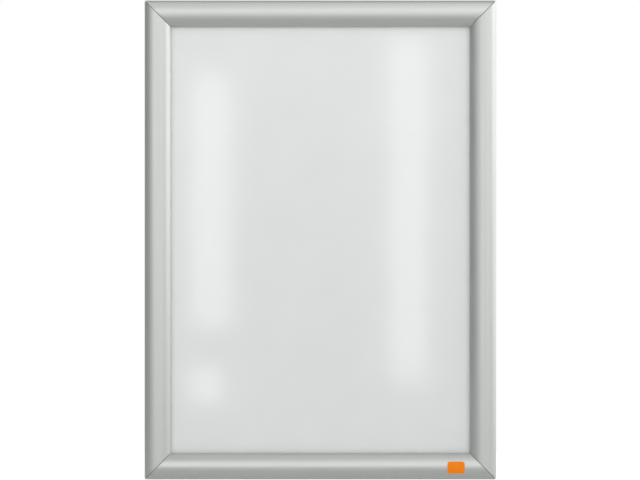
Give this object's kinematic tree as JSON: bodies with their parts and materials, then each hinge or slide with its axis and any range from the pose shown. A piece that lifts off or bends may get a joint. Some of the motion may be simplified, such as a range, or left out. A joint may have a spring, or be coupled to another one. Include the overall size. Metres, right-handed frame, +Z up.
{
  "type": "poster frame",
  "caption": "Wall-hung snap frame for a poster: mitred face rails hinge open along their outer edges over a back panel and a clear sheet.",
  "frame": {"origin": "centre of the frame's back, on the plane of the wall", "axes": "+Z up along the long sides, +X to the right seen from the front, -Y out of the wall towards the viewer"},
  "size_m": [0.3398, 0.0135, 0.4628],
  "materials": {
    "anodised_aluminium": "satin anodised",
    "mill_finish_aluminium": "mill finish",
    "spring_steel": "tempered strip",
    "zinc_plated_steel": "zinc plated",
    "panel_plastic": "matte sheet",
    "clear_plastic": "clear, low glare",
    "label_plastic": "smooth vinyl"
  },
  "bodies": {
    "wall_frame": {"base_rail_top": "mill_finish_aluminium", "base_rail_bottom": "mill_finish_aluminium", "base_rail_left": "mill_finish_aluminium", "base_rail_right": "mill_finish_aluminium", "corner_key_top_left": "zinc_plated_steel", "corner_key_top_right": "zinc_plated_steel", "corner_key_bottom_left": "zinc_plated_steel", "corner_key_bottom_right": "zinc_plated_steel", "back_panel": "panel_plastic", "cover_sheet": "clear_plastic"},
    "face_top": {"snap_rail_top": "anodised_aluminium"},
    "face_bottom": {"snap_rail_bottom": "anodised_aluminium", "blank_label": "label_plastic"},
    "face_left": {"snap_rail_left": "anodised_aluminium"},
    "face_right": {"snap_rail_right": "anodised_aluminium"},
    "springs_top": {"leaf_spring_top_1": "spring_steel", "leaf_spring_top_2": "spring_steel"},
    "springs_bottom": {"leaf_spring_bottom_1": "spring_steel", "leaf_spring_bottom_2": "spring_steel"},
    "springs_left": {"leaf_spring_left_1": "spring_steel", "leaf_spring_left_2": "spring_steel"},
    "springs_right": {"leaf_spring_right_1": "spring_steel", "leaf_spring_right_2": "spring_steel"}
  },
  "joints": [
    {"name": "snap_top", "type": "hinge", "parent": "wall_frame", "child": "face_top", "pos_m": [0, -0.00435, 0.2292], "axis": [-1, 0, 0], "range_deg": [0, 95]},
    {"name": "snap_bottom", "type": "hinge", "parent": "wall_frame", "child": "face_bottom", "pos_m": [0, -0.00435, -0.2292], "axis": [1, 0, 0], "range_deg": [0, 95]},
    {"name": "snap_left", "type": "hinge", "parent": "wall_frame", "child": "face_left", "pos_m": [-0.1677, -0.00435, 0], "axis": [0, 0, -1], "range_deg": [0, 95]},
    {"name": "snap_right", "type": "hinge", "parent": "wall_frame", "child": "face_right", "pos_m": [0.1677, -0.00435, 0], "axis": [0, 0, 1], "range_deg": [0, 95]},
    {"name": "spring_swing_top", "type": "hinge", "parent": "wall_frame", "child": "springs_top", "pos_m": [0, -0.0017, 0.2196], "axis": [-1, 0, 0], "range_deg": [-21.6, 0]},
    {"name": "spring_swing_bottom", "type": "hinge", "parent": "wall_frame", "child": "springs_bottom", "pos_m": [0, -0.0017, -0.2196], "axis": [1, 0, 0], "range_deg": [-21.6, 0]},
    {"name": "spring_swing_left", "type": "hinge", "parent": "wall_frame", "child": "springs_left", "pos_m": [-0.1581, -0.0017, 0], "axis": [0, 0, -1], "range_deg": [-21.6, 0]},
    {"name": "spring_swing_right", "type": "hinge", "parent": "wall_frame", "child": "springs_right", "pos_m": [0.1581, -0.0017, 0], "axis": [0, 0, 1], "range_deg": [-21.6, 0]}
  ],
  "couplings": [
    {"joint": "spring_swing_top", "follows": "snap_top", "ratio": -0.2273},
    {"joint": "spring_swing_bottom", "follows": "snap_bottom", "ratio": -0.2273},
    {"joint": "spring_swing_left", "follows": "snap_left", "ratio": -0.2273},
    {"joint": "spring_swing_right", "follows": "snap_right", "ratio": -0.2273}
  ]
}
